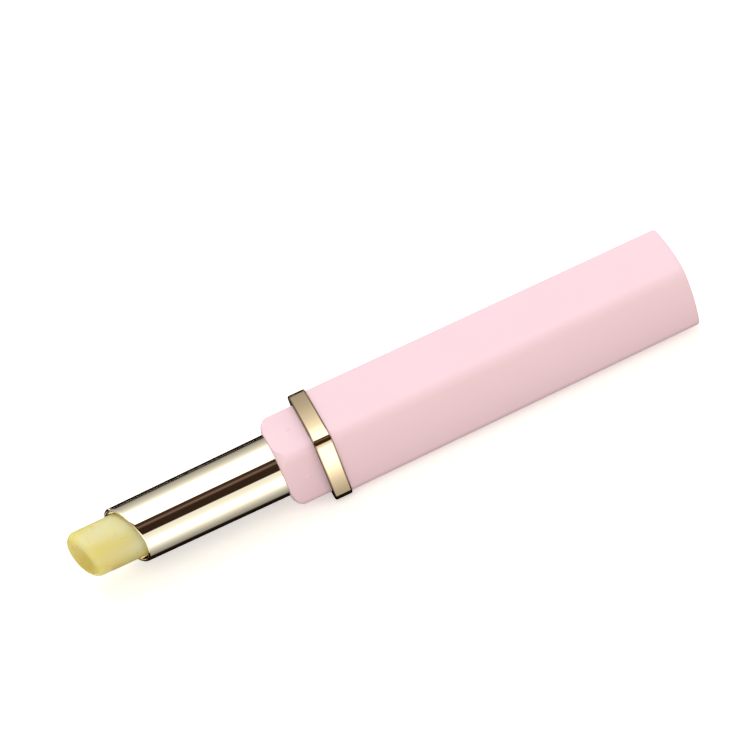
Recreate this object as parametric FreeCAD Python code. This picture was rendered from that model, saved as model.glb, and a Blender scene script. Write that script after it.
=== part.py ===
import FreeCAD, Part
import math
import os

# A slim square lip balm stick. Holding the base and turning the gold sleeve screws a threaded
# rod through a fixed nut, so the wax bullet climbs out of the sleeve or sinks back into it.
# Lengths are in millimetres and angles in degrees. The pieces are drawn upright, with the
# axis on Z and the closed end of the base at zero, and are laid on their side at the end.

# Wax bullet
balm_radius = 4.0
balm_length = 28.3
balm_show = 7.7
balm_hide = 0.3
balm_tip_fillet = 1.05
slant_angle = 24.0
slant_turn = -83.0

# Cup that carries the bullet
cup_wall = 0.45
cup_depth = 4.0
cup_floor = 1.0
cup_boss_radius = 1.9
cup_boss_height = 2.0
cup_rib_width = 0.5
cup_rib_reach = 0.7
cup_rib_count = 4
cast_clearance = 0.01
lug_rise = 0.5
lug_height = 2.0
lug_width = 1.2

# Slotted guide that turns the cup
guide_clearance = 0.1
guide_wall = 0.4
guide_head = 2.85
guide_foot = 4.85
guide_flange_reach = 0.35
guide_flange_thickness = 0.8
slot_clearance = 0.1
stop_clearance = 0.3

# Gold outer tube, pressed over the guide
tube_fit = 0.02
tube_length = 25.4
tube_foot_wall = 0.645
tube_rim_wall = 0.455
tube_rim_setback = 1.7
tube_rim_fillet = 0.3
tube_bore_fillet = 0.08
tube_foot_gap = 0.1

# Square collar that takes the cap
collar_reach = 6.0
collar_wall = 0.67
collar_corner = 1.5
collar_running_clearance = 0.08
collar_flange_clearance = 0.1
collar_nose_margin = 0.15
collar_nose_radius = 2.1
snap_dot_radius = 0.42
snap_dot_height = 0.12
snap_dot_setback = 3.5

# Silicone brake ring above the guide's flange
brake_thickness = 0.5
brake_clearance = 0.03
brake_edge = 0.12

# Drive nut, keyed into the collar
nut_length = 7.5
nut_fit = 0.03
nut_running_gap = 0.1
nut_key_width = 1.6
nut_key_reach = 0.9
nut_key_length = 3.0

# Push rod with its quick right-hand thread
thread_lead = 8.0
thread_starts = 3
thread_crest_radius = 2.0
thread_core_radius = 1.5
thread_crest_share = 0.32
thread_root_share = 0.36
thread_clearance = 0.15
rod_pin_radius = 1.1
rod_pin_length = 2.4
rod_fit = 0.02

# Stop disc on the foot of the push rod
end_stop_radius = 2.8
end_stop_thickness = 1.5

# Gold trim ring
ring_length = 2.9
ring_wall = 1.36
ring_corner = 1.9
ring_bow_angle = 4.0
ring_edge = 0.25

# Square base shell
shell_length = 60.7
shell_fit = 0.02
shell_mouth_wall = 0.86
shell_draft = 0.215
shell_wall = 1.2
shell_floor = 1.2
shell_corner = 1.7
shell_crown = 0.55
shell_foot_fillet = 0.5

# How far a cut runs past the face it opens
cut_overrun = 1.0

# Radii and half sides, from the bullet outwards
cup_inner_radius = balm_radius - cup_wall
guide_bore_radius = balm_radius + guide_clearance
guide_radius = guide_bore_radius + guide_wall
flange_radius = guide_radius + guide_flange_reach
lug_radius = guide_radius - slot_clearance / 2
tube_bore_radius = guide_radius + tube_fit
tube_rim_radius = tube_bore_radius + tube_rim_wall
tube_foot_radius = tube_bore_radius + tube_foot_wall
collar_bore_radius = guide_radius + collar_running_clearance
collar_socket_radius = flange_radius + collar_flange_clearance
collar_half = collar_socket_radius + collar_wall
socket_half = collar_half + shell_fit
socket_corner = collar_corner + shell_fit
ring_half = socket_half + ring_wall
mouth_half = socket_half + shell_mouth_wall
foot_half = mouth_half - shell_draft
cavity_half = foot_half - shell_wall
nut_radius = collar_socket_radius - nut_fit

# Levels along the axis, from the base's closed end
ring_top = shell_length + ring_length
collar_front = ring_top + collar_reach
tube_low = collar_front + tube_foot_gap
rim_centre = tube_low + tube_length
slant_slope = math.tan(math.radians(slant_angle))
guide_top = rim_centre - tube_rim_radius * slant_slope - tube_rim_setback
slot_top = guide_top - guide_head
tip_centre = rim_centre + balm_show
cup_rim = tip_centre - balm_length
cup_floor_top = cup_rim - cup_depth
cup_low = cup_floor_top - cup_floor
lug_low = cup_low + lug_rise
lug_top = lug_low + lug_height
lower_travel = balm_show + balm_hide
raise_travel = slot_top - stop_clearance - lug_top
slot_low = lug_low - lower_travel - stop_clearance
guide_low = cup_low - lower_travel - guide_foot
flange_top = guide_low + guide_flange_thickness
brake_low = flange_top + brake_clearance
brake_top = brake_low + brake_thickness
collar_shoulder = brake_top + brake_clearance
nut_top = guide_low - nut_running_gap
nut_low = nut_top - nut_length
end_stop_top = nut_low - raise_travel - stop_clearance
end_stop_low = end_stop_top - end_stop_thickness

Vector = FreeCAD.Vector


# A point of the plan, turned about the axis
def turned(x, y, angle, level):
    cosine = math.cos(angle)
    sine = math.sin(angle)
    return Vector(x * cosine - y * sine, x * sine + y * cosine, level)


# Closed outline of a square with round corners. Its sides are straight, or bulge so that
# they turn by the bow angle between their middle and their end
def rounded_square(half_side, corner, level, bow_angle=0):
    bow = math.radians(bow_angle)
    flat = half_side - corner
    if bow > 0:
        flat = flat * math.sin(bow) / (1 - math.cos(bow) + math.sin(bow))
    end_across = flat + corner * math.sin(bow)
    end_out = flat + corner * math.cos(bow)
    middle = flat + corner * math.cos(math.pi / 4)
    edges = []
    for quarter in range(4):
        angle = quarter * math.pi / 2
        side_start = turned(end_out, -end_across, angle, level)
        side_middle = turned(half_side, 0, angle, level)
        side_end = turned(end_out, end_across, angle, level)
        corner_middle = turned(middle, middle, angle, level)
        corner_end = turned(end_across, end_out, angle, level)
        side = Part.LineSegment(side_start, side_end)
        if bow > 0:
            side = Part.Arc(side_start, side_middle, side_end)
        edges.append(side.toShape())
        edges.append(Part.Arc(side_end, corner_middle, corner_end).toShape())
    return Part.Wire(edges)


def square_bar(half_side, corner, low, high, bow_angle=0):
    outline = rounded_square(half_side, corner, low, bow_angle)
    return Part.Face(outline).extrude(Vector(0, 0, high - low))


def round_bar(radius, low, high):
    return Part.makeCylinder(radius, high - low, Vector(0, 0, low))


def pipe(radius, bore_radius, low, high):
    bore = round_bar(bore_radius, low - cut_overrun, high + cut_overrun)
    return round_bar(radius, low, high).cut(bore)


# A flat bar lying across the axis, centred on it
def cross_bar(half_length, width, low, high):
    start = Vector(-half_length, -width / 2, low)
    return Part.makeBox(2 * half_length, width, high - low, start)


# The block above the slanted plane that crosses the axis at the given level
def slant_cutter(radius, level):
    reach = 2 * radius
    cutter = Part.makeBox(2 * reach, 2 * reach, reach, Vector(-reach, -reach, 0))
    short_side = math.radians(slant_turn)
    tilt_axis = Vector(-math.sin(short_side), math.cos(short_side), 0)
    tilt = FreeCAD.Rotation(tilt_axis, slant_angle)
    cutter.Placement = FreeCAD.Placement(Vector(0, 0, level), tilt)
    return cutter


# Round edges that close on themselves, wholly above a level
def closed_edges_above(shape, level):
    return [edge for edge in shape.Edges if edge.isClosed() and edge.CenterOfMass.z > level]


# Edges wholly below a level
def edges_below(shape, level):
    return [edge for edge in shape.Edges if edge.BoundBox.ZMax < level]


# Edges that lie in the plane at a level
def edges_at(shape, level):
    found = []
    for edge in shape.Edges:
        if all(abs(vertex.Z - level) < Part.Precision.confusion() for vertex in edge.Vertexes):
            found.append(edge)
    return found


# Edges that run from one end of a bar to the other
def long_edges(shape):
    found = []
    for edge in shape.Edges:
        if abs(edge.Vertexes[0].Z - edge.Vertexes[-1].Z) > Part.Precision.confusion():
            found.append(edge)
    return found


# Cross section of the multi-start thread: crest arcs and core arcs joined by straight flanks
def thread_section(clearance, level):
    crest = thread_crest_radius + clearance
    core = thread_core_radius + clearance
    start_angle = 2 * math.pi / thread_starts
    crest_half = start_angle * thread_crest_share / 2 + clearance / crest
    root_half = start_angle * thread_root_share / 2 - clearance / core
    phase = 2 * math.pi * level / thread_lead
    edges = []
    for start in range(thread_starts):
        middle = phase + start * start_angle
        root_middle = middle + start_angle / 2
        crest_begin = turned(crest, 0, middle - crest_half, level)
        crest_middle = turned(crest, 0, middle, level)
        crest_end = turned(crest, 0, middle + crest_half, level)
        root_begin = turned(core, 0, root_middle - root_half, level)
        root_centre = turned(core, 0, root_middle, level)
        root_end = turned(core, 0, root_middle + root_half, level)
        next_crest = turned(crest, 0, middle + start_angle - crest_half, level)
        edges.append(Part.Arc(crest_begin, crest_middle, crest_end).toShape())
        edges.append(Part.LineSegment(crest_end, root_begin).toShape())
        edges.append(Part.Arc(root_begin, root_centre, root_end).toShape())
        edges.append(Part.LineSegment(root_end, next_crest).toShape())
    return Part.Wire(edges)


# Threaded bar: the section carried up the axis while it turns once in every lead
def threaded_bar(clearance, low, high):
    axis = Part.makeLine(Vector(0, 0, low), Vector(0, 0, high))
    helix = Part.makeHelix(thread_lead, high - low, thread_crest_radius)
    helix.translate(Vector(0, 0, low))
    sweep = Part.BRepOffsetAPI.MakePipeShell(Part.Wire([axis]))
    sweep.setAuxiliarySpine(Part.Wire(helix.Edges), True, 0)
    sweep.add(thread_section(clearance, low))
    sweep.build()
    sweep.makeSolid()
    return sweep.shape()


# Ball that crowns the closed end: its middle stands proud of the corners by the crown
def shell_crown_ball():
    corner_reach = (foot_half - shell_corner) * math.sqrt(2) + shell_corner
    ball_radius = (corner_reach ** 2 + shell_crown ** 2) / (2 * shell_crown)
    return Part.makeSphere(ball_radius, Vector(0, 0, ball_radius))


# Tapered square shell, closed and crowned at the foot, with a stepped socket for the collar at its mouth
def make_base_shell():
    blank = Part.makeWedge(
        -foot_half, 0, -foot_half, -mouth_half, -mouth_half,
        foot_half, shell_length, foot_half, mouth_half, mouth_half)
    blank.rotate(Vector(0, 0, 0), Vector(1, 0, 0), 90)
    blank = blank.makeFillet(shell_corner, long_edges(blank))
    blank = blank.common(shell_crown_ball())
    blank = blank.makeFillet(shell_foot_fillet, edges_below(blank, 2 * shell_crown))
    mouth = shell_length + cut_overrun
    socket = square_bar(socket_half, socket_corner, nut_low, mouth)
    cavity = square_bar(cavity_half, socket_corner, shell_floor, mouth)
    return blank.cut(socket).cut(cavity)


# Square gold band with gently bowed faces, between the shell's mouth and the collar's neck
def make_trim_ring():
    band = square_bar(ring_half, ring_corner, shell_length, ring_top, ring_bow_angle)
    ends = edges_at(band, shell_length) + edges_at(band, ring_top)
    band = band.makeFillet(ring_edge, ends)
    hole = square_bar(socket_half, socket_corner, shell_length - cut_overrun, ring_top + cut_overrun)
    return band.cut(hole)


# Turned envelope that rounds the collar's four front corners and leaves its flats whole
def collar_nose():
    land = tube_foot_radius + collar_nose_margin
    reach = land + collar_nose_radius
    nose_low = collar_front - collar_nose_radius
    diagonal = math.pi / 4
    bulge = Vector(
        land + collar_nose_radius * math.cos(diagonal), 0,
        nose_low + collar_nose_radius * math.sin(diagonal))
    foot = Vector(0, 0, nut_low - cut_overrun)
    foot_edge = Vector(reach, 0, nut_low - cut_overrun)
    shoulder = Vector(reach, 0, nose_low)
    land_edge = Vector(land, 0, collar_front)
    summit = Vector(0, 0, collar_front)
    edges = [
        Part.LineSegment(foot, foot_edge).toShape(),
        Part.LineSegment(foot_edge, shoulder).toShape(),
        Part.Arc(shoulder, bulge, land_edge).toShape(),
        Part.LineSegment(land_edge, summit).toShape(),
        Part.LineSegment(summit, foot).toShape(),
    ]
    profile = Part.Face(Part.Wire(edges))
    return profile.revolve(Vector(0, 0, 0), Vector(0, 0, 1), 360)


# One low dome at the middle of each collar face, where a cap clicks on
def snap_dots():
    ball_radius = (snap_dot_radius ** 2 + snap_dot_height ** 2) / (2 * snap_dot_height)
    ball_centre = collar_half + snap_dot_height - ball_radius
    level = collar_front - snap_dot_setback
    dots = []
    for quarter in range(4):
        dots.append(Part.makeSphere(ball_radius, turned(ball_centre, 0, quarter * math.pi / 2, level)))
    return dots


# Two keys of the drive nut, or with a clearance the notches that take them
def nut_keys(clearance, low):
    half_length = collar_socket_radius + nut_key_reach + clearance
    high = nut_low + nut_key_length + clearance
    keys = cross_bar(half_length, nut_key_width + 2 * clearance, low, high)
    keys.rotate(Vector(0, 0, 0), Vector(0, 0, 1), 45)
    return keys


# Square collar: neck for the cap, plug for the shell, stepped bore for the guide and the nut
def make_collar():
    body = square_bar(collar_half, collar_corner, nut_low, collar_front).common(collar_nose())
    body = body.fuse(snap_dots())
    bore = round_bar(collar_bore_radius, nut_low, collar_front + cut_overrun)
    socket = round_bar(collar_socket_radius, nut_low - cut_overrun, collar_shoulder)
    notches = nut_keys(nut_fit, nut_low - cut_overrun)
    return body.cut(bore).cut(socket).cut(notches)


# Round nut with two keys and the female thread
def make_drive_nut():
    body = round_bar(nut_radius, nut_low, nut_top).fuse(nut_keys(0, nut_low))
    return body.cut(threaded_bar(thread_clearance, nut_low - cut_overrun, nut_top + cut_overrun))


# Soft ring that drags on the guide and gives the twist its feel
def make_brake_ring():
    outer = collar_socket_radius - brake_clearance
    inner = guide_radius + brake_clearance
    ring = pipe(outer, inner, brake_low, brake_top)
    return ring.makeFillet(brake_edge, edges_at(ring, brake_low) + edges_at(ring, brake_top))


# Thin sleeve with a retaining flange and two long slots for the cup's lugs
def make_guide_sleeve():
    body = pipe(guide_radius, guide_bore_radius, guide_low, guide_top)
    flange = pipe(flange_radius, guide_bore_radius, guide_low, flange_top)
    slots = cross_bar(guide_radius + cut_overrun, lug_width + 2 * slot_clearance, slot_low, slot_top)
    return body.fuse(flange).cut(slots)


# Gold tube, slightly tapered, with a slanted and rounded rim
def make_outer_tube():
    taper = (tube_rim_radius - tube_foot_radius) / tube_length
    height = tube_length + tube_foot_radius
    top_radius = tube_foot_radius + taper * height
    body = Part.makeCone(tube_foot_radius, top_radius, height, Vector(0, 0, tube_low))
    body = body.cut(slant_cutter(tube_foot_radius, rim_centre))
    body = body.makeFillet(tube_rim_fillet, closed_edges_above(body, guide_top))
    body = body.cut(round_bar(tube_bore_radius, tube_low - cut_overrun, tube_low + height))
    bore_rim = min(closed_edges_above(body, guide_top), key=lambda edge: edge.Length)
    return body.makeFillet(tube_bore_fillet, [bore_rim])


# Ribs that hold the bullet in the cup, or with a clearance the grooves that they leave in it
def cup_ribs(clearance, low, high):
    ribs = []
    start = cup_inner_radius - cup_rib_reach - clearance
    length = cup_rib_reach + clearance + cup_wall / 2
    width = cup_rib_width + 2 * clearance
    for count in range(cup_rib_count):
        rib = Part.makeBox(length, width, high - low, Vector(start, -width / 2, low))
        rib.rotate(Vector(0, 0, 0), Vector(0, 0, 1), (count + 1 / 2) * 360 / cup_rib_count)
        ribs.append(rib)
    return ribs


# Cup with a boss for the rod's pin, inner ribs and two lugs that ride in the guide's slots
def make_balm_cup():
    body = round_bar(balm_radius, cup_low, cup_rim)
    body = body.cut(round_bar(cup_inner_radius, cup_floor_top, cup_rim + cut_overrun))
    boss = round_bar(cup_boss_radius, cup_low, cup_floor_top + cup_boss_height)
    lug_ring = pipe(lug_radius, cup_inner_radius, lug_low, lug_top)
    lugs = lug_ring.common(cross_bar(lug_radius, lug_width, lug_low, lug_top))
    body = body.fuse([boss, lugs] + cup_ribs(0, cup_floor_top, cup_rim))
    pin_hole_top = cup_low + rod_pin_length + rod_fit
    return body.cut(round_bar(rod_pin_radius + rod_fit, cup_low - cut_overrun, pin_hole_top))


# Wax bullet with a slanted, softly rounded tip, cast over the cup's boss and ribs
def make_balm():
    height = balm_length + balm_radius
    body = round_bar(balm_radius, cup_rim, cup_rim + height)
    body = body.cut(slant_cutter(balm_radius, tip_centre))
    body = body.makeFillet(balm_tip_fillet, closed_edges_above(body, tip_centre - balm_radius))
    foot_low = cup_floor_top + cast_clearance
    foot = round_bar(cup_inner_radius - cast_clearance, foot_low, cup_rim)
    boss_radius = cup_boss_radius + cast_clearance
    boss_top = cup_floor_top + cup_boss_height + cast_clearance
    hollow = round_bar(boss_radius, cup_floor_top, boss_top)
    grooves = cup_ribs(cast_clearance, cup_floor_top, cup_rim)
    return body.fuse(foot.cut([hollow] + grooves))


# Threaded rod with a plain pin at each end
def make_push_rod():
    body = threaded_bar(0, end_stop_top, cup_low)
    upper_pin = round_bar(rod_pin_radius, cup_low, cup_low + rod_pin_length)
    lower_pin = round_bar(rod_pin_radius, end_stop_low, end_stop_top)
    return body.fuse([upper_pin, lower_pin])


# Disc pressed on the rod's foot, which meets the nut when the bullet is fully out
def make_end_stop():
    return pipe(end_stop_radius, rod_pin_radius + rod_fit, end_stop_low, end_stop_top)


nodes = {
    "base_shell": make_base_shell(),
    "trim_ring": make_trim_ring(),
    "collar": make_collar(),
    "drive_nut": make_drive_nut(),
    "brake_ring": make_brake_ring(),
    "guide_sleeve": make_guide_sleeve(),
    "outer_tube": make_outer_tube(),
    "balm_cup": make_balm_cup(),
    "balm": make_balm(),
    "push_rod": make_push_rod(),
    "end_stop": make_end_stop(),
}

# Lay the stick on its side: tip towards -X, one face down, the middle of its length at the origin
tip = nodes["balm"].optimalBoundingBox(False, False).ZMax
lying = FreeCAD.Rotation(Vector(0, 1, 0), -90)
resting_place = FreeCAD.Placement(Vector(tip / 2, 0, ring_half), lying)

os.makedirs("parts", exist_ok=True)
for name, shape in nodes.items():
    laid = shape.copy()
    laid.Placement = resting_place.multiply(laid.Placement)
    laid.exportStep("parts/" + name + ".step")
    box = laid.optimalBoundingBox(False, False)
    print(name, len(laid.Solids), "solid", round(laid.Volume, 3), "mm3",
          [round(value, 3) for value in (box.XMin, box.XMax, box.YMin, box.YMax, box.ZMin, box.ZMax)])
print("travel", round(-lower_travel, 3), round(raise_travel, 3))
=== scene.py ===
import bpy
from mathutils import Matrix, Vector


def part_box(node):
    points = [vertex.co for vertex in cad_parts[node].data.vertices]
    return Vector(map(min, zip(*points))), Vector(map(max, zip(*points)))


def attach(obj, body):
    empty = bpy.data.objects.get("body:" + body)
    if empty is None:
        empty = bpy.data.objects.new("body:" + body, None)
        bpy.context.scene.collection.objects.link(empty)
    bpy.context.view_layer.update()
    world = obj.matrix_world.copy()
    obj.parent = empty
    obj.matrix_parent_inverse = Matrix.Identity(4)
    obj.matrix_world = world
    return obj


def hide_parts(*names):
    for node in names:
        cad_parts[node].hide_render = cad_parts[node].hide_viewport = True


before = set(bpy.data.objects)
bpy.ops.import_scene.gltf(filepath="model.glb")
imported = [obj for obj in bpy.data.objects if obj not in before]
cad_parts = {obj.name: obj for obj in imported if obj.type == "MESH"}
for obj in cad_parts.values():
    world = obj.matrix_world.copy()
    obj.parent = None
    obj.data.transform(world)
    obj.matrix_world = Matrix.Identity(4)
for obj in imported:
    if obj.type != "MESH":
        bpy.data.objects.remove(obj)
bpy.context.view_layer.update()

import bpy
import numpy as np
from mathutils import Matrix

print("frame loaded:", ", ".join(sorted(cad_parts)))

# The stick lies along X. Lengths are in mm, and a level counts from the closed end of the base
stick = {"closedEnd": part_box("base_shell")[1][0] * 1000, "axisHeight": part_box("trim_ring")[1][2] * 500,
         "slantDegrees": 24.0, "slantTurnDegrees": -83.0}
slope = np.tan(np.radians(stick["slantDegrees"]))
slantTurn = np.radians(stick["slantTurnDegrees"])
slantStretch = np.sqrt(1 + slope ** 2)
# normal of the slanted rim and tip, as (up, across, level)
slantNormal = np.array([slope * np.cos(slantTurn), slope * np.sin(slantTurn), 1.0]) / slantStretch


# Place in metres = (closed end - level, across, axis height + up)
def place(spot):
    up, across, level = np.moveaxis(spot, -1, 0)
    return np.stack([stick["closedEnd"] - level, across, stick["axisHeight"] + up], axis=-1) / 1000


# Spot = (up, across, level), each spread over the same grid
def spots(up, across, level):
    return np.stack(np.broadcast_arrays(up, across, level), axis=-1).astype(float)


# Arc of directions from one unit vector to another: sin((1-t)w)/sin(w) of the first + sin(tw)/sin(w) of
# the second
def swing(first, second, shares):
    first, second = np.broadcast_arrays(first, second)
    turn = np.arccos(np.clip(np.sum(first * second, axis=-1), -1, 1))[None, :, None]
    t = np.asarray(shares)[:, None, None]
    return (np.sin((1 - t) * turn) * first + np.sin(t * turn) * second) / np.sin(turn)


# Square with bowed sides and round corners, as two arrays F and C: outline = (half - corner) * F +
# corner * C. A side is an arc of plus and minus the bow angle, a corner arc takes up the rest of the
# quarter, and C is the normal
def bowedSquare(bowDegrees, sideSteps=9, cornerSteps=14):
    bow = np.radians(bowDegrees)
    rise = 1 - np.cos(bow) + np.sin(bow)
    side = bow * np.concatenate([[-1, -0.985], np.linspace(-0.93, 0.93, sideSteps), [0.985]])
    arc = np.linspace(bow, np.pi / 2 - bow, cornerSteps, endpoint=False)
    reach = np.concatenate([
        np.stack([1 - (1 - np.cos(side)) / rise, np.sin(side) / rise], axis=-1),
        np.full((cornerSteps, 2), np.sin(bow) / rise)])
    turn = np.concatenate([side, arc])
    normal = np.stack([np.cos(turn), np.sin(turn)], axis=-1)
    quarters = np.array([[[1, 0], [0, 1]], [[0, -1], [1, 0]], [[-1, 0], [0, -1]], [[0, 1], [-1, 0]]])
    around = lambda flat: np.einsum("qab,nb->qna", quarters, flat).reshape(-1, 2)
    return around(reach), around(normal)


# Rings of that square: one row for each (half, corner, level)
def squareRings(outline, rows):
    reach, normal = outline
    half, corner, level = np.array(rows, float).T[:, :, None, None]
    flat = (half - corner) * reach + corner * normal
    return spots(flat[..., 0], flat[..., 1], level[..., 0])


# Rounded edge between a wall and a face: insets radius*(1-cos) and radius*(1-sin) over a quarter turn
def quarterRound(radius, steps=7):
    turn = np.linspace(0, np.pi / 2, steps)
    return radius * (1 - np.cos(turn)), radius * (1 - np.sin(turn))


# A piece from grids of spots: rows run along the profile, columns go round, and the last column meets
# the first. A looped grid joins its last row to its first, and any other grid is closed at both ends
def makePiece(name, grids, material, body, node):
    points, faces, start = [], [], 0
    for spot, looped in grids:
        rows, columns = spot.shape[:2]
        here = start + np.arange(rows * columns).reshape(rows, columns)
        low = here if looped else here[:-1]
        high = np.roll(here, -1, axis=0) if looped else here[1:]
        quads = np.stack([low, np.roll(low, -1, axis=1), np.roll(high, -1, axis=1), high], axis=-1)
        faces += quads.reshape(-1, 4).tolist()
        if not looped:
            faces += [here[0, ::-1].tolist(), here[-1].tolist()]
        points.append(place(spot).reshape(-1, 3))
        start += rows * columns
    mesh = bpy.data.meshes.new(name)
    mesh.from_pydata(np.concatenate(points).tolist(), [], faces)
    mesh.shade_smooth()
    mesh.set_sharp_from_angle(angle=np.radians(40))
    mesh.materials.append(material)
    piece = bpy.data.objects.new(name, mesh)
    bpy.context.scene.collection.objects.link(piece)
    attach(piece, body)
    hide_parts(node)
    print("made", name, "with", len(faces), "faces")
    return piece


# sRGB hex to linear light: c/12.92 below 0.04045, otherwise ((c+0.055)/1.055)^2.4
def colour(text):
    share = np.array([int(text[i:i + 2], 16) for i in (1, 3, 5)]) / 255
    linear = np.where(share <= 0.04045, share / 12.92, ((share + 0.055) / 1.055) ** 2.4)
    return (*linear.tolist(), 1.0)


# Adds a node, sets it, and fills its sockets with values or links
def addNode(tree, kind, sockets=None, **settings):
    node = tree.nodes.new(kind)
    for name, value in settings.items():
        setattr(node, name, value)
    for name, value in (sockets or {}).items():
        if isinstance(value, bpy.types.NodeSocket):
            tree.links.new(value, node.inputs[name])
        else:
            node.inputs[name].default_value = value
    return node


def newMaterial(name):
    material = bpy.data.materials.new(name)
    material.use_nodes = True
    material.node_tree.nodes.clear()
    return material, material.node_tree


# ABS, injection moulded in a fine satin mould: the eye sees an even powder pink with a soft broad
# sheen, a hardly visible cloudiness where the melt flowed, and a fine grain. The grain of 0.05 mm is
# drawn at 0.3 mm to show
pinkAbs = {"light": "#FADBE2", "deep": "#F9D6DE", "cloudMm": 11.0, "grainMm": 0.3,
           "grainHeightMm": 0.0012, "roughnessFrom": 0.54, "roughnessTo": 0.62, "specular": 0.2}


def makePinkAbs(settings):
    material, tree = newMaterial("ABS_moulded_satin_pink")
    coords = addNode(tree, "ShaderNodeTexCoord").outputs["Object"]
    cloud = addNode(tree, "ShaderNodeTexNoise", {"Vector": coords, "Scale": 1000 / settings["cloudMm"],
                                                 "Detail": 3.0, "Roughness": 0.45})
    tint = addNode(tree, "ShaderNodeMix", {"Factor": cloud.outputs["Fac"], "A": colour(settings["deep"]),
                                           "B": colour(settings["light"])}, data_type="RGBA")
    grain = addNode(tree, "ShaderNodeTexNoise", {"Vector": coords, "Scale": 1000 / settings["grainMm"],
                                                 "Detail": 2.0})
    gloss = addNode(tree, "ShaderNodeMapRange", {
        "Value": grain.outputs["Fac"], "From Min": 0.3, "From Max": 0.7,
        "To Min": settings["roughnessFrom"], "To Max": settings["roughnessTo"]})
    bump = addNode(tree, "ShaderNodeBump", {"Height": grain.outputs["Fac"], "Strength": 1.0,
                                            "Distance": settings["grainHeightMm"] / 1000})
    shader = addNode(tree, "ShaderNodeBsdfPrincipled", {
        "Base Color": tint.outputs["Result"], "Roughness": gloss.outputs["Result"],
        "Normal": bump.outputs["Normal"], "IOR": 1.53, "Specular IOR Level": settings["specular"]})
    addNode(tree, "ShaderNodeOutputMaterial", {"Surface": shader.outputs["BSDF"]})
    return material


# Vacuum-metallised plastic under a pale gold lacquer: the eye sees a bright mirror with clean edged
# reflections, a faint waviness left by the moulding, a little haze where the lacquer lies thicker, and
# on the band a brown line painted along its edges as a dark reflection
goldMirror = {"light": "#F9EFD6", "deep": "#F6E9CB", "lacquerMm": 6.0, "waveMm": 2.2,
              "waveHeightMm": 0.00015, "roughnessFrom": 0.035, "roughnessTo": 0.06}
# the band's edge colour is a painted dark reflection along its rounded edges
goldBand = {"light": "#F7DFB8", "deep": "#F3D8AC", "lacquerMm": 5.0, "waveMm": 1.8,
            "waveHeightMm": 0.0005, "roughnessFrom": 0.06, "roughnessTo": 0.09, "crownMm": 0.34,
            "crownReachMm": 5.0, "edge": "#584430"}


def makeGold(name, settings):
    material, tree = newMaterial(name)
    coords = addNode(tree, "ShaderNodeTexCoord").outputs["Object"]
    lacquer = addNode(tree, "ShaderNodeTexNoise", {
        "Vector": coords, "Scale": 1000 / settings["lacquerMm"], "Detail": 2.0})
    tint = addNode(tree, "ShaderNodeMix", {
        "Factor": lacquer.outputs["Fac"], "A": colour(settings["deep"]), "B": colour(settings["light"])},
        data_type="RGBA")
    haze = addNode(tree, "ShaderNodeMapRange", {
        "Value": lacquer.outputs["Fac"], "From Min": 0.3, "From Max": 0.7,
        "To Min": settings["roughnessFrom"], "To Max": settings["roughnessTo"]})
    wave = addNode(tree, "ShaderNodeTexNoise", {"Vector": coords, "Scale": 1000 / settings["waveMm"],
                                                "Detail": 0.0})
    bump = addNode(tree, "ShaderNodeBump", {"Height": wave.outputs["Fac"], "Strength": 1.0,
                                            "Distance": settings["waveHeightMm"] / 1000})
    skin = tint.outputs["Result"]
    if "crownMm" in settings:
        # polishing leaves each face higher in its middle: height falls with the square of the way from
        # the axis
        ray = addNode(tree, "ShaderNodeVectorMath", {
            0: coords, 1: (0, 0, stick["axisHeight"] / 1000)}, operation="SUBTRACT")
        across = 1000 / settings["crownReachMm"]
        flat = addNode(tree, "ShaderNodeVectorMath", {
            0: ray.outputs[0], 1: (0, across, across)}, operation="MULTIPLY")
        square = addNode(tree, "ShaderNodeVectorMath", {
            0: flat.outputs[0], 1: flat.outputs[0]}, operation="DOT_PRODUCT")
        bump = addNode(tree, "ShaderNodeBump", {
            "Height": square.outputs["Value"], "Strength": 1.0, "Distance": settings["crownMm"] / 1000,
            "Normal": bump.outputs["Normal"]}, invert=True)
        # painted dark reflection: the band's rounded edges are mixed towards dark brown
        edge = addNode(tree, "ShaderNodeAttribute", attribute_name="edge")
        skin = addNode(tree, "ShaderNodeMix", {
            "Factor": edge.outputs["Fac"], "A": skin, "B": colour(settings["edge"])},
            data_type="RGBA").outputs["Result"]
    shader = addNode(tree, "ShaderNodeBsdfPrincipled", {
        "Base Color": skin, "Metallic": 1.0, "Roughness": haze.outputs["Result"],
        "Normal": bump.outputs["Normal"]})
    addNode(tree, "ShaderNodeOutputMaterial", {"Surface": shader.outputs["BSDF"]})
    return material


# Balm wax, poured warm into a mould: the eye sees a pale yellow that light enters a little way, paler
# slanting streaks where the wax set first, the cut tip painted a deeper yellow as shade, and a soft waxy
# shine
balmWax = {"pale": "#E2DCAE", "body": "#E6DA83", "tip": "#E1D271", "streakMm": 7.0, "streakStretch": 0.3,
           "streakTurnDegrees": 35.0, "fineMm": 1.4, "fineHeightMm": 0.001, "glowMm": (3.2, 2.8, 1.3),
           "roughnessFrom": 0.22, "roughnessTo": 0.36}


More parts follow.
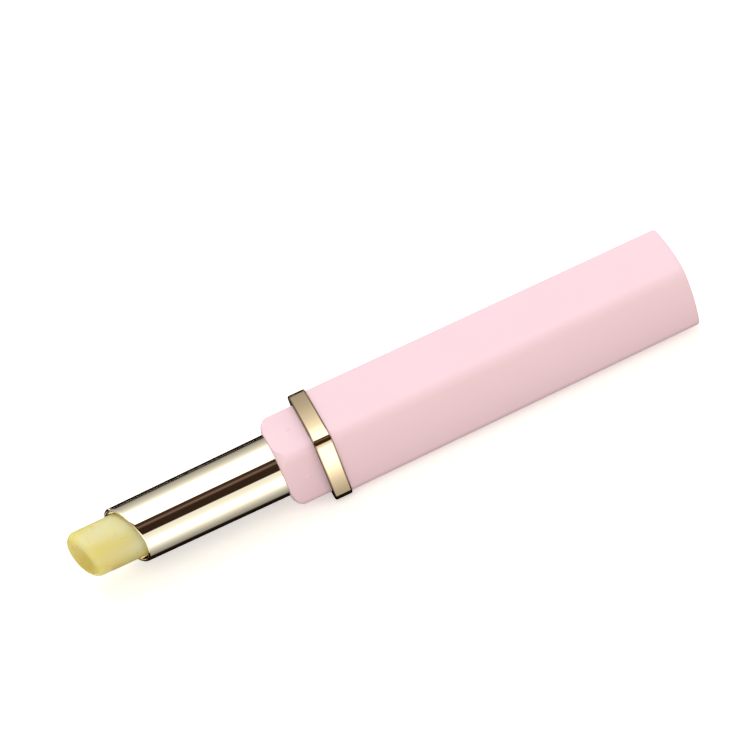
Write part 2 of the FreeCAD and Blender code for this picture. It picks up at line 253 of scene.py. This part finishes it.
def makeWax(settings):
    material, tree = newMaterial("Wax_poured_pale_yellow")
    coords = addNode(tree, "ShaderNodeTexCoord").outputs["Object"]
    lean = addNode(tree, "ShaderNodeMapping", {
        "Vector": coords, "Rotation": (0.0, np.radians(settings["streakTurnDegrees"]), 0.0),
        "Scale": (settings["streakStretch"], 1.0, 1.0)})
    streak = addNode(tree, "ShaderNodeTexNoise", {
        "Vector": lean.outputs["Vector"], "Detail": 3.0, "Scale": 1000 / settings["streakMm"],
        "Distortion": 0.6})
    share = addNode(tree, "ShaderNodeMapRange", {
        "Value": streak.outputs["Fac"], "From Min": 0.38, "From Max": 0.68},
        interpolation_type="SMOOTHSTEP")
    body = addNode(tree, "ShaderNodeMix", {
        "Factor": share.outputs["Result"], "A": colour(settings["body"]), "B": colour(settings["pale"])},
        data_type="RGBA")
    # painted shade: the cut tip face is mixed towards a deeper yellow
    tipFace = addNode(tree, "ShaderNodeAttribute", attribute_name="tipFace")
    tint = addNode(tree, "ShaderNodeMix", {
        "Factor": tipFace.outputs["Fac"], "A": body.outputs["Result"], "B": colour(settings["tip"])},
        data_type="RGBA")
    fine = addNode(tree, "ShaderNodeTexNoise", {"Vector": coords, "Scale": 1000 / settings["fineMm"],
                                                "Detail": 3.0})
    bump = addNode(tree, "ShaderNodeBump", {"Height": fine.outputs["Fac"], "Strength": 1.0,
                                            "Distance": settings["fineHeightMm"] / 1000})
    gloss = addNode(tree, "ShaderNodeMapRange", {
        "Value": fine.outputs["Fac"], "To Min": settings["roughnessFrom"],
        "To Max": settings["roughnessTo"]})
    shader = addNode(tree, "ShaderNodeBsdfPrincipled", {
        "Base Color": tint.outputs["Result"], "Roughness": gloss.outputs["Result"], "IOR": 1.44,
        "Normal": bump.outputs["Normal"], "Subsurface Weight": 1.0, "Subsurface Scale": 0.001,
        "Subsurface Radius": settings["glowMm"]})
    addNode(tree, "ShaderNodeOutputMaterial", {"Surface": shader.outputs["BSDF"]})
    return material


# Acetal in its natural white and grey silicone, both moulded plain: the eye sees a dry even surface
# with a fine grain, the acetal slightly waxy and the silicone dull
acetal = {"light": "#F1F0EA", "deep": "#E9E8E1", "grainMm": 0.4, "grainHeightMm": 0.003,
          "roughnessFrom": 0.38, "roughnessTo": 0.5, "ior": 1.48}
silicone = {"light": "#B7B7B4", "deep": "#ABABA8", "grainMm": 0.5, "grainHeightMm": 0.004,
            "roughnessFrom": 0.6, "roughnessTo": 0.75, "ior": 1.41}


def makeMoulded(name, settings):
    material, tree = newMaterial(name)
    coords = addNode(tree, "ShaderNodeTexCoord").outputs["Object"]
    grain = addNode(tree, "ShaderNodeTexNoise", {"Vector": coords, "Scale": 1000 / settings["grainMm"],
                                                 "Detail": 3.0})
    tint = addNode(tree, "ShaderNodeMix", {"Factor": grain.outputs["Fac"], "A": colour(settings["deep"]),
                                           "B": colour(settings["light"])}, data_type="RGBA")
    gloss = addNode(tree, "ShaderNodeMapRange", {
        "Value": grain.outputs["Fac"], "To Min": settings["roughnessFrom"],
        "To Max": settings["roughnessTo"]})
    bump = addNode(tree, "ShaderNodeBump", {"Height": grain.outputs["Fac"], "Strength": 1.0,
                                            "Distance": settings["grainHeightMm"] / 1000})
    shader = addNode(tree, "ShaderNodeBsdfPrincipled", {
        "Base Color": tint.outputs["Result"], "Roughness": gloss.outputs["Result"],
        "Normal": bump.outputs["Normal"], "IOR": settings["ior"]})
    addNode(tree, "ShaderNodeOutputMaterial", {"Surface": shader.outputs["BSDF"]})
    return material


pinkMaterial = makePinkAbs(pinkAbs)
tubeMaterial = makeGold("Gold_metallised_bright", goldMirror)
bandMaterial = makeGold("Gold_metallised_band", goldBand)
waxMaterial = makeWax(balmWax)
acetalMaterial = makeMoulded("Acetal_moulded_natural", acetal)
siliconeMaterial = makeMoulded("Silicone_moulded_grey", silicone)
print("materials ready")

# Base: square shell that narrows to its crowned closed end, hollow, with a stepped socket for the collar
baseShell = {"length": 60.7, "mouthHalf": 6.5, "endHalf": 6.285, "corner": 1.7, "crown": 0.55,
             "endRound": 0.5, "mouthRound": 0.06, "socketHalf": 5.64, "socketCorner": 1.52,
             "socketFloor": 49.05, "hollowHalf": 5.085, "hollowCorner": 1.52, "hollowFloor": 1.2,
             "bowDegrees": 0.25}


# The end is part of a large ball: level = ball - sqrt(ball^2 - r^2). A small ball rolls round its edge,
# and straight walls run from there to the mouth
def makeBaseShell(s):
    outline = bowedSquare(s["bowDegrees"])
    reach, normal = outline
    cornerReach = (s["endHalf"] - s["corner"]) * np.sqrt(2) + s["corner"]
    ball = (cornerReach ** 2 + s["crown"] ** 2) / (2 * s["crown"])
    ease = s["endRound"]
    flat = (s["endHalf"] - s["corner"]) * reach + (s["corner"] - ease) * normal
    edge = spots(flat[:, 0], flat[:, 1], ball - np.sqrt((ball - ease) ** 2 - np.sum(flat ** 2, axis=-1)))
    sideNormal = spots(normal[:, 0], normal[:, 1], 0)
    rolled = edge + ease * swing((edge - [0, 0, ball]) / (ball - ease), sideNormal, np.linspace(0, 1, 9))
    shares = np.array([0.03, 0.2, 0.4, 0.6, 0.8, 0.93, 0.99])[:, None]
    up, across = shares * rolled[0, :, 0], shares * rolled[0, :, 1]
    end = spots(up, across, ball - np.sqrt(ball ** 2 - up ** 2 - across ** 2))
    inset, drop = quarterRound(s["mouthRound"], 4)
    rows = [(s["mouthHalf"] - back, s["corner"] - back, s["length"] - down)
            for back, down in zip(inset, drop)]
    rows += [(s["socketHalf"], s["socketCorner"], level) for level in (s["length"], s["socketFloor"])]
    rows += [(s["hollowHalf"], s["hollowCorner"], level)
             for level in (s["socketFloor"], s["hollowFloor"])]
    rows += [(0.04 * s["hollowHalf"], 0.04 * s["hollowCorner"], s["hollowFloor"])]
    inside = squareRings(outline, rows)
    climb = np.concatenate([[0.001, 0.006], np.linspace(0.03, 0.97, 24), [0.995, 0.9995]])[:, None, None]
    walls = rolled[-1] + climb * (inside[0] - rolled[-1])
    return np.concatenate([end, rolled, walls, inside])


makePiece("base", [(makeBaseShell(baseShell), False)], pinkMaterial, "base", "base_shell")

# Trim ring: square band with softly bowed faces and rounded edges, a little proud of the base
trimRing = {"low": 60.7, "high": 63.6, "half": 7.0, "corner": 1.9, "edgeRound": 0.3, "step": 0.03,
            "innerHalf": 5.64, "innerCorner": 1.52, "bowDegrees": 4.0}


# Section of the band: rounded low edge, outer face, rounded high edge, inner face
def makeTrimRing(s):
    inset, drop = quarterRound(s["edgeRound"], 9)
    rows = [(s["half"] - back, s["corner"] - back, s["low"] + down)
            for back, down in zip(inset[::-1], drop[::-1])]
    shelf = s["edgeRound"] + s["step"]
    middle = np.linspace(s["low"] + shelf, s["high"] - shelf, 6)
    rows += [(s["half"], s["corner"], level) for level in middle]
    rows += [(s["half"] - back, s["corner"] - back, s["high"] - down) for back, down in zip(inset, drop)]
    rows = [(s["half"] - shelf, s["corner"] - shelf, s["low"])] + rows
    rows += [(s["half"] - shelf, s["corner"] - shelf, s["high"])]
    outer = squareRings(bowedSquare(s["bowDegrees"], 21, 24), rows)
    hole = [(s["innerHalf"], s["innerCorner"], level) for level in (s["high"], s["low"])]
    inner = squareRings(bowedSquare(baseShell["bowDegrees"], 21, 24), hole)
    # weight of the painted dark reflection: full where the rounded edges meet the ends, fading to none on
    # the faces, and full on the inner rows
    edge = np.linspace(1, 0, len(inset)) ** 0.4
    edge = np.concatenate([[1], edge, np.zeros(len(middle)), edge[::-1], [1, 1, 1]])
    return np.concatenate([outer, inner]), np.repeat(edge, outer.shape[1])


bandGrid, paintedBandEdge = makeTrimRing(trimRing)
band = makePiece("trimRing", [(bandGrid, True)], bandMaterial, "base", "trim_ring")
band.data.attributes.new("edge", "FLOAT", "POINT").data.foreach_set("value", paintedBandEdge)

# Collar: square neck with a domed front, bored for the sleeve, and four low dots where a cap clicks on
neckCollar = {"low": 49.05, "front": 69.6, "half": 5.62, "corner": 1.5, "edgeRound": 0.16, "land": 5.315,
              "noseRadius": 2.1, "lip": 5.0, "bore": 4.58, "boreEase": 0.1, "boreFloor": 58.01,
              "socket": 4.95, "bowDegrees": 0.25,
              "dotRadius": 0.42, "dotHeight": 0.12, "dotLevel": 66.1}


# The neck is its own shape shrunk by the edge round, then pushed out by that much along its normals, so
# that a ball rolls round the curved edge where the flat sides meet the domed front. The dome is an arc
# turned about the axis
def makeCollar(s):
    ease = s["edgeRound"]
    reach, normal = bowedSquare(s["bowDegrees"], 25)
    flat = (s["half"] - s["corner"]) * reach + (s["corner"] - ease) * normal
    radius = np.linalg.norm(flat, axis=-1)
    outward = flat / radius[:, None]
    sine = np.clip((radius - s["land"]) / (s["noseRadius"] - ease), 0, 1)
    noseLow = s["front"] - s["noseRadius"]
    edge = spots(flat[:, 0], flat[:, 1], noseLow + (s["noseRadius"] - ease) * np.sqrt(1 - sine ** 2))
    sideNormal = spots(normal[:, 0], normal[:, 1], 0)
    frontNormal = spots(sine * outward[:, 0], sine * outward[:, 1], np.sqrt(1 - sine ** 2))
    top = edge + ease * sideNormal
    low = top.copy()
    low[:, 2] = s["low"]
    climb = np.concatenate([[0], np.linspace(0.3, 0.96, 12), [0.98, 0.992]])[:, None, None]
    side = low + climb * (top - low)
    rolled = edge + ease * swing(sideNormal, frontNormal, np.linspace(0, 1, 7))
    lean = np.arcsin(sine) * np.array([0.97, 0.8, 0.6, 0.4, 0.2, 0.03, 0])[:, None]
    across = s["land"] + s["noseRadius"] * np.sin(lean)
    dome = spots(across * outward[:, 0], across * outward[:, 1],
                 noseLow + s["noseRadius"] * np.cos(lean))
    bores = np.array([(s["lip"], s["front"]), (s["bore"] + s["boreEase"], s["front"]),
                      (s["bore"], s["front"] - s["boreEase"]), (s["bore"], s["boreFloor"]),
                      (s["socket"], s["boreFloor"]), (s["socket"], s["low"])])
    bored = spots(bores[:, :1] * outward[:, 0], bores[:, :1] * outward[:, 1], bores[:, 1:])
    return np.concatenate([side, rolled, dome, bored])


# A dot is a ball's cap: height = sqrt(ball^2 - r^2) - (ball - dot height), with its rim sunk in the face
def makeDots(s):
    ball = (s["dotRadius"] ** 2 + s["dotHeight"] ** 2) / (2 * s["dotHeight"])
    radius = s["dotRadius"] * np.concatenate([[1.12], np.linspace(1.02, 0.06, 12)])[:, None]
    turn = np.linspace(0, 2 * np.pi, 40, endpoint=False)
    height = s["half"] + np.sqrt(ball ** 2 - radius ** 2) - (ball - s["dotHeight"])
    across, level = radius * np.cos(turn), s["dotLevel"] + radius * np.sin(turn)
    height = np.broadcast_to(height, across.shape)
    return [(spots(height * np.cos(q) - across * np.sin(q), height * np.sin(q) + across * np.cos(q), level),
             False) for q in np.arange(4) * np.pi / 2]


collarGrids = [(makeCollar(neckCollar), True)] + makeDots(neckCollar)
makePiece("collarNeck", collarGrids, pinkMaterial, "base", "collar")

# Sleeve: thin gold tube, a little narrower towards its slanted rim
goldSleeve = {"foot": 69.63, "rimCentre": 95.1, "footRadius": 5.165, "rimRadius": 4.975, "bore": 4.52,
              "footRound": 0.03, "rimRound": 0.3, "boreRound": 0.08, "columns": 448}


# A cone cut by the slanted plane: level of the cut = centre - slope * (how far the spot lies towards
# the low side). The rim's outer and inner edges are balls rolled between the wall and the plane
def makeSleeve(s):
    turn = np.linspace(0, 2 * np.pi, s["columns"], endpoint=False)
    outward = spots(np.cos(turn), np.sin(turn), 0)
    narrowing = (s["footRadius"] - s["rimRadius"]) / (s["rimCentre"] - s["foot"])
    tilt = slope * np.cos(turn - slantTurn)
    ease = s["rimRound"]
    centre = s["rimCentre"] - ease * slantStretch
    level = (centre - tilt * (s["footRadius"] - ease + narrowing * s["foot"])) / (1 - tilt * narrowing)
    radius = s["footRadius"] - ease - narrowing * (level - s["foot"])
    outerEdge = spots(radius * np.cos(turn), radius * np.sin(turn), level)
    wallNormal = spots(np.cos(turn), np.sin(turn), narrowing) / np.sqrt(1 + narrowing ** 2)
    rolledOut = outerEdge + ease * swing(wallNormal, slantNormal, np.linspace(0, 1, 9))
    inset, rise = quarterRound(s["footRound"], 6)
    radius = (s["footRadius"] - inset[::-1])[:, None]
    foot = spots(radius * np.cos(turn), radius * np.sin(turn), (s["foot"] + rise[::-1])[:, None])
    climb = np.concatenate([[0.004], np.linspace(0.04, 0.96, 20), [0.985, 0.996]])[:, None, None]
    wall = foot[-1] + climb * (rolledOut[0] - foot[-1])
    small = s["boreRound"]
    radius = s["bore"] + small
    innerEdge = spots(radius * np.cos(turn), radius * np.sin(turn),
                      s["rimCentre"] - small * slantStretch - tilt * radius)
    rolledIn = innerEdge + small * swing(slantNormal, -outward, np.linspace(0, 1, 6))
    drop = np.array([0.01, 0.1, 0.3, 0.6, 1])[:, None, None]
    floor = spots(s["bore"] * np.cos(turn), s["bore"] * np.sin(turn), s["foot"])
    bore = rolledIn[-1] + drop * (floor - rolledIn[-1])
    return np.concatenate([foot, wall, rolledOut, rolledIn, bore])


sleeveGrids = [(makeSleeve(goldSleeve), True)]
makePiece("goldSleeve", sleeveGrids, tubeMaterial, "sleeve", "outer_tube")

# Bullet: wax rod with a slanted tip, parallel to the rim, and a softly rounded edge
waxBullet = {"foot": 70.51, "tipCentre": 103.0, "radius": 4.0, "tipRound": 1.35, "footRound": 0.15,
             "columns": 128}


# A cylinder cut by the slanted plane, with a ball rolled round the cut edge
def makeBullet(s):
    turn = np.linspace(0, 2 * np.pi, s["columns"], endpoint=False)
    outward = spots(np.cos(turn), np.sin(turn), 0)
    ease = s["tipRound"]
    core = s["radius"] - ease
    tilt = slope * np.cos(turn - slantTurn)
    level = s["tipCentre"] - ease * slantStretch - tilt * core
    edge = spots(core * np.cos(turn), core * np.sin(turn), level)
    rolled = edge + ease * swing(outward, slantNormal, np.linspace(0, 1, 17))
    inset, rise = quarterRound(s["footRound"], 5)
    radius = np.concatenate([[0.1, 2.0], s["radius"] - inset[::-1]])[:, None]
    level = s["foot"] + np.concatenate([[0, 0], rise[::-1]])[:, None]
    foot = spots(radius * np.cos(turn), radius * np.sin(turn), level)
    climb = np.concatenate([[0.01], np.linspace(0.06, 0.97, 24), [0.99]])[:, None, None]
    side = foot[-1] + climb * (rolled[0] - foot[-1])
    middle = np.array([0, 0, s["tipCentre"]])
    face = middle + np.array([0.98, 0.94, 0.8])[:, None, None] * (rolled[-1] - middle)
    # weight of the painted shade on the tip, rising over the rounded edge to full on the flat face
    tipFace = np.concatenate([np.zeros(len(foot) + len(side)), 0.5 * np.linspace(0, 1, len(rolled)) ** 2,
                              [0.55, 0.65, 1]])
    return np.concatenate([foot, side, rolled, face]), np.repeat(tipFace, s["columns"])


bulletGrid, tipFace = makeBullet(waxBullet)
bullet = makePiece("waxBullet", [(bulletGrid, False)], waxMaterial, "carrier", "balm")
bullet.data.attributes.new("tipFace", "FLOAT", "POINT").data.foreach_set("value", tipFace)

# The drive inside keeps its own shape and gets its plastics
for nodeName in ("drive_nut", "guide_sleeve", "balm_cup", "push_rod", "end_stop", "brake_ring"):
    finish = siliconeMaterial if nodeName == "brake_ring" else acetalMaterial
    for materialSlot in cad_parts[nodeName].material_slots:
        materialSlot.material = finish
print("inner pieces finished")

# Floor: a wide pale disc, white where the light falls on it and darker in the stick's shadow
floorSettings = {"radius": 3.0, "columns": 96, "paint": "#F6EFE5", "lift": 0.45}


def makeFloor(s):
    turn = np.linspace(0, 2 * np.pi, s["columns"], endpoint=False)
    rim = s["radius"] * np.stack([np.cos(turn), np.sin(turn), np.zeros_like(turn)], axis=-1)
    mesh = bpy.data.meshes.new("floor")
    mesh.from_pydata(rim.tolist(), [], [range(s["columns"])])
    material, tree = newMaterial("Paper_sweep_white")
    path = addNode(tree, "ShaderNodeLightPath")
    seen = addNode(tree, "ShaderNodeMath", {
        0: path.outputs["Is Camera Ray"], 1: path.outputs["Is Glossy Ray"]}, operation="MAXIMUM")
    seen = addNode(tree, "ShaderNodeMath", {
        0: seen.outputs[0], 1: path.outputs["Is Transmission Ray"]}, operation="MAXIMUM")
    lift = addNode(tree, "ShaderNodeMath", {0: seen.outputs[0], 1: s["lift"]}, operation="MULTIPLY")
    glow = addNode(tree, "ShaderNodeEmission", {"Strength": lift.outputs[0]})
    paper = addNode(tree, "ShaderNodeBsdfDiffuse", {"Color": colour(s["paint"])})
    both = addNode(tree, "ShaderNodeAddShader", {0: paper.outputs[0], 1: glow.outputs[0]})
    addNode(tree, "ShaderNodeOutputMaterial", {"Surface": both.outputs[0]})
    mesh.materials.append(material)
    floor = bpy.data.objects.new("floor", mesh)
    bpy.context.scene.collection.objects.link(floor)


makeFloor(floorSettings)

# Studio: a white tent all round and one soft lamp. Mirrors see the tent with its dark gaps and a
# floor with painted shade. Each stop is (degrees from the front over the top, or mm across the floor,
# then colour and brightness there)
studio = {"lampWatts": 2.04, "lampSize": 0.5, "lampPlace": (-0.05, 0.4, 0.75), "paintedShadow": ("#1C120D", 1.0),
          "tentBack": ("#FFFFFF", 0.73), "tentFront": ("#FFFCF8", 1.16),
          "tentStops": [(0, "#FFFFFF", 1.15), (4, "#FFFFFF", 1.05), (18.5, "#FFFFFF", 0.93),
                        (20, "#33231A", 1.0), (43, "#33231A", 1.0), (46, "#67544F", 1.0),
                        (51, "#7C6864", 1.0), (53.5, "#4A352B", 1.0), (63, "#33231A", 1.0),
                        (65, "#FFFFFF", 2.0), (116, "#FFFFFF", 2.0), (124, "#FFFFFF", 1.1),
                        (134, "#FFFFFF", 0.78), (147, "#FFFFFF", 0.54), (160, "#FFFFFF", 0.42),
                        (168, "#FFFFFF", 0.22), (172.5, "#1C120D", 1.0), (180, "#1C120D", 1.0)],
          # painted reflection of the floor: bright in front, painted shadow close to the stick and behind
          # it
          "floorReflectionStops": [(-100, "#FFFFFF", 1.2), (-85, "#FFFFFF", 2.0), (-20, "#FFFFFF", 2.0),
                         (-12, "#FFFFFF", 0.9), (-7.8, "#FFFFFF", 0.46), (-5.4, "#FFFFFF", 0.27),
                         (-5.0, "#1C120D", 1.0), (5.0, "#1C120D", 1.0), (5.4, "#FFFFFF", 0.36),
                         (6.5, "#FFFFFF", 0.5), (8.5, "#FFFFFF", 0.5), (10.5, "#FFFFFF", 0.08),
                         (14, "#1C120D", 1.0), (30, "#1C120D", 1.0)],
          "wide": [(-47.3, -700), (400, -700), (400, 14), (10, 14), (150, 1200), (-62, 1200), (-75, 50),
                   (-100, 40), (-100, 14), (-400, 14), (-400, -700), (-53, -700), (-53, 8), (-47.3, 8)],
          # painted shadow strip under the trim ring
          "band": [(-16, -7.6), (-6, -7.6), (-6, 7.6), (-16, 7.6)],
          "flag": [(-70, -32), (70, -32), (70, -6), (-70, -6)],
          "wideHeight": 0.02, "bandHeight": 0.04, "flagHeight": 0.03,
          "flagStops": [(-32, "#FFF4EC", 0.78), (-20, "#FFF4EC", 0.66), (-12, "#FFF4EC", 0.46),
                        (-6, "#FFF4EC", 0.28)]}


# Colour at half brightness, to leave room above white
def halved(text, bright):
    return (*(np.array(colour(text)[:3]) * bright / 2).tolist(), 1)


# Ramp node from stops
def addRamp(tree, stops, share):
    ramp = addNode(tree, "ShaderNodeValToRGB", {"Fac": share})
    first, span = stops[0][0], stops[-1][0] - stops[0][0]
    marks = ramp.color_ramp.elements
    for stop in stops[1:-1]:
        marks.new((stop[0] - first) / span)
    for mark, (at, text, bright) in zip(marks, stops):
        mark.position = (at - first) / span
        mark.color = halved(text, bright)
    return ramp.outputs["Color"]


# A mirror sees a colour by the angle atan2(z, -y) of the direction, and a matt surface sees a white that
# is brighter and warmer in front
def makeTent(s):
    world = bpy.data.worlds.new("studio")
    bpy.context.scene.world = world
    world.use_nodes = True
    tree = world.node_tree
    tree.nodes.clear()
    direction = addNode(tree, "ShaderNodeTexCoord").outputs["Generated"]
    axes = addNode(tree, "ShaderNodeSeparateXYZ", {0: direction})
    front = addNode(tree, "ShaderNodeMath", {0: axes.outputs["Y"], 1: -1.0}, operation="MULTIPLY")
    angle = addNode(tree, "ShaderNodeMath", {
        0: axes.outputs["Z"], 1: front.outputs[0]}, operation="ARCTAN2")
    share = addNode(tree, "ShaderNodeMath", {0: angle.outputs[0], 1: 1 / np.pi}, operation="MULTIPLY")
    tent = addRamp(tree, s["tentStops"], share.outputs[0])
    path = addNode(tree, "ShaderNodeLightPath")
    plain = addNode(tree, "ShaderNodeMath", {
        0: path.outputs["Is Camera Ray"], 1: path.outputs["Is Transmission Ray"]}, operation="MAXIMUM")
    soft = addNode(tree, "ShaderNodeMix", {
        "Factor": front.outputs[0], "A": halved(*s["tentBack"]), "B": halved(*s["tentFront"])},
        data_type="RGBA")
    white = addNode(tree, "ShaderNodeMix", {
        "Factor": plain.outputs[0], "A": soft.outputs["Result"], "B": halved("#FFFFFF", 1.0)},
        data_type="RGBA")
    seen = addNode(tree, "ShaderNodeMix", {
        "Factor": path.outputs["Is Glossy Ray"], "A": white.outputs["Result"], "B": tent},
        data_type="RGBA")
    light = addNode(tree, "ShaderNodeBackground", {"Color": seen.outputs["Result"], "Strength": 2.0})
    addNode(tree, "ShaderNodeOutputWorld", {"Surface": light.outputs[0]})


# Card just above the floor, coloured by the way across. Only mirrors see it, or only matt surfaces above
# it: the floor below looks through it
def makeCard(name, corners, height, stops, mirrored=True):
    mesh = bpy.data.meshes.new(name)
    spread = np.array([(x, y, height) for x, y in corners]) / 1000
    mesh.from_pydata(spread.tolist(), [], [range(len(corners))])
    material, tree = newMaterial("Card_painted_" + name)
    coords = addNode(tree, "ShaderNodeTexCoord").outputs["Object"]
    axes = addNode(tree, "ShaderNodeSeparateXYZ", {0: coords})
    share = addNode(tree, "ShaderNodeMapRange", {
        "Value": axes.outputs["Y"], "From Min": stops[0][0] / 1000, "From Max": stops[-1][0] / 1000})
    shade = addRamp(tree, stops, share.outputs["Result"])
    surface = addNode(tree, "ShaderNodeEmission", {"Color": shade, "Strength": 2.0}).outputs[0]
    if not mirrored:
        below = addNode(tree, "ShaderNodeNewGeometry").outputs["Backfacing"]
        clear = addNode(tree, "ShaderNodeBsdfTransparent").outputs[0]
        surface = addNode(tree, "ShaderNodeMixShader", {0: below, 1: surface, 2: clear}).outputs[0]
    addNode(tree, "ShaderNodeOutputMaterial", {"Surface": surface})
    mesh.materials.append(material)
    card = bpy.data.objects.new(name, mesh)
    card.visible_camera = card.visible_shadow = card.visible_transmission = False
    card.visible_diffuse, card.visible_glossy = not mirrored, mirrored
    bpy.context.scene.collection.objects.link(card)


# The wide card is a painted reflection of the floor: bright in front, with painted shadow close to the
# stick and straight behind it, and a notch where the sleeve's rim looks at the bare floor. The small one
# is a painted shadow strip under the trim ring, seen only in mirrors. The flag is the stick's own shade
# painted on the floor, which darkens the foot of the front faces
def makeCards(s):
    makeCard("paintedFloorReflection", s["wide"], s["wideHeight"], s["floorReflectionStops"])
    # painted shadow under the trim ring: a dark strip seen only in mirrors
    makeCard("paintedRingShadow", s["band"], s["bandHeight"], [(-1, *s["paintedShadow"]), (1, *s["paintedShadow"])])
    makeCard("frontFlag", s["flag"], s["flagHeight"], s["flagStops"], mirrored=False)


def makeLamp(s):
    lamp = bpy.data.lights.new("overheadLamp", "AREA")
    lamp.shape = "DISK"
    lamp.size = s["lampSize"]
    lamp.energy = s["lampWatts"]
    lampObject = bpy.data.objects.new("overheadLamp", lamp)
    lampObject.location = s["lampPlace"]
    lampObject.rotation_euler = (-lampObject.location).to_track_quat("-Z", "Y").to_euler()
    lampObject.visible_glossy = False
    bpy.context.scene.collection.objects.link(lampObject)


makeTent(studio)
makeCards(studio)
makeLamp(studio)
print("studio ready")

# Camera: where it looks, from how far, and how it is turned and rolled
cameraSettings = {"aimMm": (2.762, 9.243, 7.03), "distanceMm": 586.24, "azimuth": -6.59365,
                  "elevation": 40.80954, "roll": -20.86415, "lens": 179.728, "sensor": 36.0}


# Looks along (-sin az cos el, cos az cos el, -sin el), and its right is turned by the roll towards its up
def makeCamera(s):
    az, el, roll = np.radians([s["azimuth"], s["elevation"], s["roll"]])
    ahead = np.array([-np.sin(az) * np.cos(el), np.cos(az) * np.cos(el), -np.sin(el)])
    level = np.array([np.cos(az), np.sin(az), 0])
    right = np.cos(roll) * level + np.sin(roll) * np.cross(level, ahead)
    upward = np.cross(right, ahead)
    spot = (np.array(s["aimMm"]) - s["distanceMm"] * ahead) / 1000
    lens = bpy.data.cameras.new("camera")
    lens.lens = s["lens"]
    lens.sensor_width = s["sensor"]
    lens.clip_start, lens.clip_end = 0.01, 20
    camera = bpy.data.objects.new("camera", lens)
    rows = [list(row) for row in zip(right, upward, -ahead, spot)]
    camera.matrix_world = Matrix(rows + [[0, 0, 0, 1]])
    bpy.context.scene.collection.objects.link(camera)
    bpy.context.scene.camera = camera


makeCamera(cameraSettings)
bpy.context.scene.view_settings.view_transform = "Standard"

bpy.context.view_layer.update()
